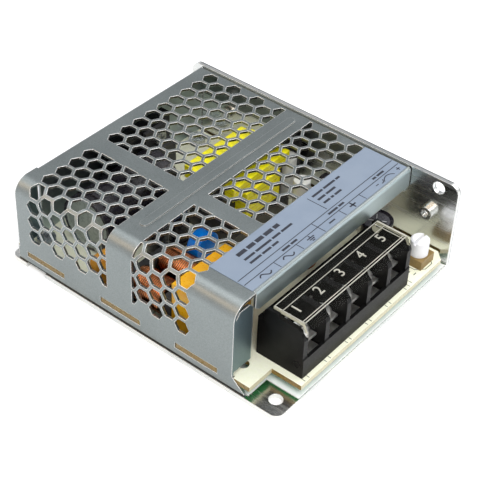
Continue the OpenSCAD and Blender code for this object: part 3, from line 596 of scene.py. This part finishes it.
for n, x in enumerate((low.x + coil_radius, high.x - coil_radius), 1):
    coil = grow("choke_winding_%d" % n, winding_tree, enamel, Radius=coil_radius - 0.1 * mm,
                Length=high.y - low.y - 2 * margin, Turns=16.0, Wire=0.33 * mm,
                Centre=(x, low.y + margin, (low.z + high.z) / 2), Turn=(-math.pi / 2, 0, 0), Finish=enamel)
    settle(coil, enamel)
low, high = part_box("output_inductor")
coil = grow("inductor_winding", winding_tree, enamel, Radius=5.2 * mm, Length=8.2 * mm, Turns=11.0,
            Wire=0.36 * mm, Centre=((low.x + high.x) / 2, (low.y + high.y) / 2, low.z + 2.0 * mm),
            Turn=(0, 0, 0), Finish=enamel)
settle(coil, enamel)


# ---------------------------------------------------------------------------
# Mains-side parts: boxed and dipped capacitors, fuse and rectifiers, each in
# its own moulded or dipped resin, and the black chips of the control side.
dips = (("film_capacitor", "orange capacitor box", (1.0, 0.52, 0.01), (0.95, 0.44, 0.01), (0.25, 0.38),
         0.12, 1500, 0.4),
        ("disc_capacitor", "blue resin dip", (0.005, 0.27, 0.92), (0.005, 0.18, 0.75), (0.12, 0.2),
         0.3, 300, 0.8),
        ("varistor", "orange resin dip", (0.85, 0.40, 0.04), (0.68, 0.24, 0.02), (0.2, 0.3), 0.3, 300, 0.8),
        ("fuse", "brown fuse box", (0.16, 0.07, 0.03), (0.11, 0.05, 0.02), (0.35, 0.45), 0.15, 1500, 0.3))
for node, name, light, dark, rough, relief, relief_scale, edge in dips:
    wear(plain_finish(name, light, dark, rough, relief=relief, relief_scale=relief_scale, edge=edge), node)
chip_resin = plain_finish("chip resin", (0.025, 0.025, 0.028), (0.04, 0.04, 0.042), (0.45, 0.6), scale=1500,
                          relief=0.3, relief_scale=4000)
wear(chip_resin, "bridge_rectifier", "switch_transistor", "output_rectifier", "opto_coupler", "board_chips")


# ---------------------------------------------------------------------------
# Heat sink: bent aluminium plate, anodised black, with drawn lines along it.
wear(plain_finish("black anodising", (0.02, 0.022, 0.026), (0.035, 0.037, 0.042), (0.16, 0.28), 0.8, scale=500,
                  stretch=(0.1, 1, 1)), "heat_sink")


# ---------------------------------------------------------------------------
# Glue: white silicone run between the tall parts, which keeps them from
# shaking loose.
wear(plain_finish("white silicone", (0.90, 0.90, 0.88), (0.84, 0.84, 0.80), (0.35, 0.5), scale=150, relief=0.5,
                  relief_scale=250, edge=0.9), "glue")


# ---------------------------------------------------------------------------
# Cover: folded galvanised sheet with hexagon holes punched through its top,
# its long bend and its side. Satin zinc with faint spangles. Painted light on it:
# painted highlights along the edges, painted shade on the hole walls, a painted
# reflection on the front lip, a painted darker tone on the front cheek and a
# painted shadow line along the side's lower edge.
galvanised, t, s, place, bump = start_finish("galvanised sheet", 0.36, 1.0, edge=0.12)
turn = t.nodes.new("ShaderNodeSeparateXYZ")
cut = t.nodes.new("ShaderNodeSeparateXYZ")
coord = t.nodes.new("ShaderNodeTexCoord")
join(t, (coord.outputs["Normal"], turn.inputs[0]), (place, cut.inputs[0]))
speck = grain(t, place, 3200, detail=1)
cloud = grain(t, place, 50)
tone = maths(t, "ADD", maths(t, "MULTIPLY", cloud, 0.3), maths(t, "MULTIPLY", speck, 0.7))
zinc_and_painted_reflection = blend(t, spread(t, tone, 0, 1, 0.3, 0.7), (0.20, 0.225, 0.225), (0.285, 0.315, 0.315))
off_top = maths(t, "LESS_THAN", maths(t, "ABSOLUTE", turn.outputs["Z"]), 0.2)
off_side = maths(t, "LESS_THAN", maths(t, "ABSOLUTE", turn.outputs["X"]), 0.995)
under_top, lower_edge, side_face = 28.75 * mm, 1.95 * mm, -40.3 * mm
bead_line, bead_half, bead_end, cheek_end = 6.4 * mm, 1.9 * mm, -32 * mm, -33 * mm
high_up = maths(t, "GREATER_THAN", cut.outputs["Z"], under_top)
punched = maths(t, "MULTIPLY", maths(t, "MULTIPLY", off_top, off_side), high_up)
true_face = t.nodes.new("ShaderNodeNewGeometry").outputs["True Normal"]
rounded = [n for n in t.nodes if n.type == "BEVEL"][0]
rounded.inputs["Radius"].default_value = 0.28 * mm
lean = t.nodes.new("ShaderNodeVectorMath")
lean.operation = "DOT_PRODUCT"
join(t, (rounded.outputs[0], lean.inputs[0]), (true_face, lean.inputs[1]))
from_bead = maths(t, "ABSOLUTE", maths(t, "SUBTRACT", cut.outputs["Y"], bead_line))
bead = maths(t, "MULTIPLY", maths(t, "LESS_THAN", from_bead, bead_half),
             maths(t, "GREATER_THAN", cut.outputs["X"], bead_end))
# Where the rounded normal leans from the true one, the colour turns near-white: painted highlights along the
# edges, weaker on the bead.
painted_rim_highlight = maths(t, "MULTIPLY", maths(t, "LESS_THAN", lean.outputs["Value"], 0.975), spread(t, bead, 1.0, 0.3, 0, 1))
# Front-facing faces of the lip get a paler blue-grey: a painted reflection of the bright room in front.
to_front = maths(t, "LESS_THAN", turn.outputs["Y"], -0.7)
lip = maths(t, "MULTIPLY", to_front, maths(t, "GREATER_THAN", cut.outputs["X"], cheek_end))
# Front-facing faces of the cheek get a darker blue-grey: a painted reflection tone.
cheek = maths(t, "MULTIPLY", to_front, maths(t, "LESS_THAN", cut.outputs["X"], cheek_end))
zinc_and_painted_reflection = blend(t, cheek, blend(t, lip, zinc_and_painted_reflection, (0.44, 0.52, 0.54)), (0.17, 0.235, 0.265))
# The hole walls get a dark colour: painted shade inside the punched holes.
with_painted_hole_shade = blend(t, punched, zinc_and_painted_reflection, (0.11, 0.11, 0.10))
# The side's lowest strip is painted black: a painted shadow line where the cover meets the base.
painted_shadow_line = maths(t, "MULTIPLY", maths(t, "LESS_THAN", cut.outputs["Z"], lower_edge),
             maths(t, "LESS_THAN", cut.outputs["X"], side_face))
join(t, (blend(t, painted_shadow_line, blend(t, painted_rim_highlight, with_painted_hole_shade, (0.86, 0.86, 0.84)), (0.01, 0.01, 0.01)), s.inputs["Base Color"]),
     (spread(t, tone, 0.34, 0.46), s.inputs["Roughness"]), (speck, bump.inputs["Height"]))
bump.inputs["Strength"].default_value = 0.35
wear(galvanised, "cover")


# ---------------------------------------------------------------------------
# Label: pale silver film on the solid front of the cover. Its ruled table has
# plain signs for the terminals; the rest of its print is plain bars.
wear(plain_finish("silver label film", (0.235, 0.285, 0.36), (0.215, 0.265, 0.34), (0.3, 0.4), 0.2, scale=120,
                  relief=0.04, edge=0.05), "label")
label_low, label_high = [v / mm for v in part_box("label")]
rule, left, right = 0.24, label_low.x + 0.3, label_high.x - 0.3
strokes = [(rule, [(left, -27.4), (right, -27.4)]), (rule, [(left, -29.6), (right, -29.6)]),
           (rule, [(-0.4, -29.6), (-0.4, -27.4)]), (rule, [(7.6, -26.8), (7.6, -20)])]
strokes += [(rule, [(x, label_low.y + 0.2), (x, -29.6)]) for x in (-19.7, -10, -0.4, 9.2, 18.7)]


def bars(x, y, high, widths, space=0.55):
    """A row of plain bars that stands for a line of print."""
    row = []
    for w in widths:
        row.append((high, [(x, y), (x + w, y)]))
        x += w + space
    return row


strokes += bars(-24, -20.9, 1.3, (3.6, 3.0, 3.0, 3.4, 2.2), 0.6)
for x, y, high, widths in ((-24, -23.4, 0.75, (4.2, 6.4, 3.4, 4.6)), (-24, -25.3, 0.75, (4.6, 3.6, 2.6)),
                           (9.2, -20.6, 0.75, (4.6, 5.2, 1.8)), (9.2, -22.6, 0.75, (3.2, 4.2)),
                           (9.2, -24.6, 0.75, (2.8, 1.2, 3)), (-14.5, -28.5, 0.7, (3.2, 2.6)),
                           (6, -28.5, 0.7, (4.2, 2.4)), (27, -28.5, 0.7, (1.6, 3.2))):
    strokes += bars(x, y, high, widths)
sign_y, light_line, heavy_line = -31.0, 0.3, 0.5
for x in (-24.6, -14.9):
    wave = [(x - 2.2 + 0.275 * i, sign_y + 0.7 * math.sin(i * math.pi / 8)) for i in range(17)]
    strokes.append((0.4, wave))
earth_x, plus_x = -5.2, 13.9
earth = [[(earth_x, -29.9), (earth_x, -30.8)]]
earth += [[(earth_x - w, y), (earth_x + w, y)] for w, y in ((1.5, -30.8), (1.0, -31.4), (0.5, -32.0))]
strokes += [(0.35, path) for path in earth]
minus_and_plus = ([(3.0, sign_y), (5.6, sign_y)], [(plus_x - 1.3, sign_y), (plus_x + 1.3, sign_y)],
                  [(plus_x, sign_y - 1.2), (plus_x, sign_y + 1.2)])
strokes += [(heavy_line, path) for path in minus_and_plus]
adjust = (round_line(31, -33.4, 3.0, 35, 145, 12), [(27.3, sign_y - 0.6), (28.2, -31.5), (28.9, -30.6)],
          [(25.2, sign_y), (26.4, sign_y)], [(35.4, sign_y), (36.8, sign_y)],
          [(36.1, sign_y - 0.7), (36.1, sign_y + 0.7)])
strokes += [(light_line, path) for path in adjust]
label_ink = plain_finish("label ink", (0.008, 0.01, 0.02), (0.015, 0.018, 0.03), (0.4, 0.5), relief=0.04)
settle(ink("label_print", strokes, label_high.z, 0.02), label_ink)
